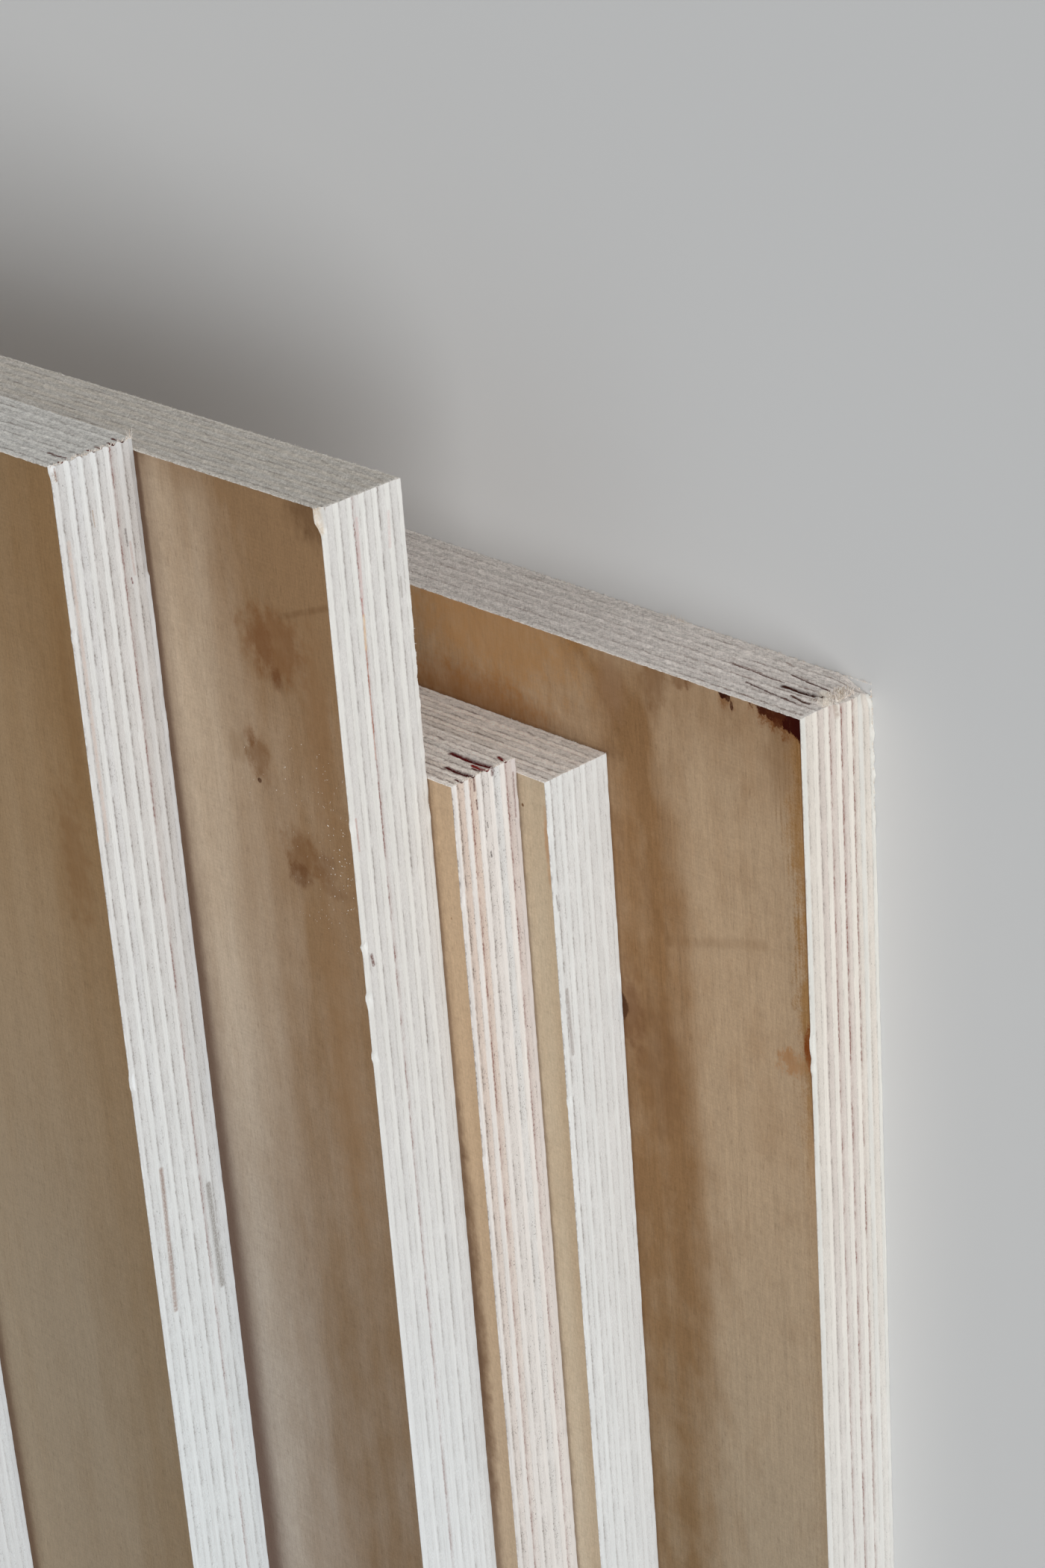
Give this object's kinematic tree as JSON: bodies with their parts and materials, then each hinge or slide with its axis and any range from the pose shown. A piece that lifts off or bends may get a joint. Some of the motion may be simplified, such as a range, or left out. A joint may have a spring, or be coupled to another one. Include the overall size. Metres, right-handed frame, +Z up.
{
  "type": "stack of plywood sheets",
  "caption": "Plywood sheets lying flat in a slightly skewed stack, with their crosswise glued veneers showing on every cut edge.",
  "frame": {"origin": "centre of the lowest sheet's underside", "axes": "+Z up through the stack, +Y along the sheets and the grain of their faces, +X across them"},
  "size_m": [0.7767, 1.2834, 0.1012],
  "materials": {
    "face_veneer": "smooth sanded birch face, satin",
    "long_ply": "saw-cut birch veneer, matt",
    "cross_ply": "saw-cut birch veneer, matt and porous"
  },
  "bodies": {
    "root": {"sheet_1_face_veneers": "face_veneer", "sheet_1_long_plies": "long_ply", "sheet_1_cross_plies": "cross_ply", "sheet_2_face_veneers": "face_veneer", "sheet_2_long_plies": "long_ply", "sheet_2_cross_plies": "cross_ply", "sheet_3_face_veneers": "face_veneer", "sheet_3_long_plies": "long_ply", "sheet_3_cross_plies": "cross_ply", "sheet_4_face_veneers": "face_veneer", "sheet_4_long_plies": "long_ply", "sheet_4_cross_plies": "cross_ply", "sheet_5_face_veneers": "face_veneer", "sheet_5_long_plies": "long_ply", "sheet_5_cross_plies": "cross_ply", "sheet_6_face_veneers": "face_veneer", "sheet_6_long_plies": "long_ply", "sheet_6_cross_plies": "cross_ply"}
  },
  "joints": []
}
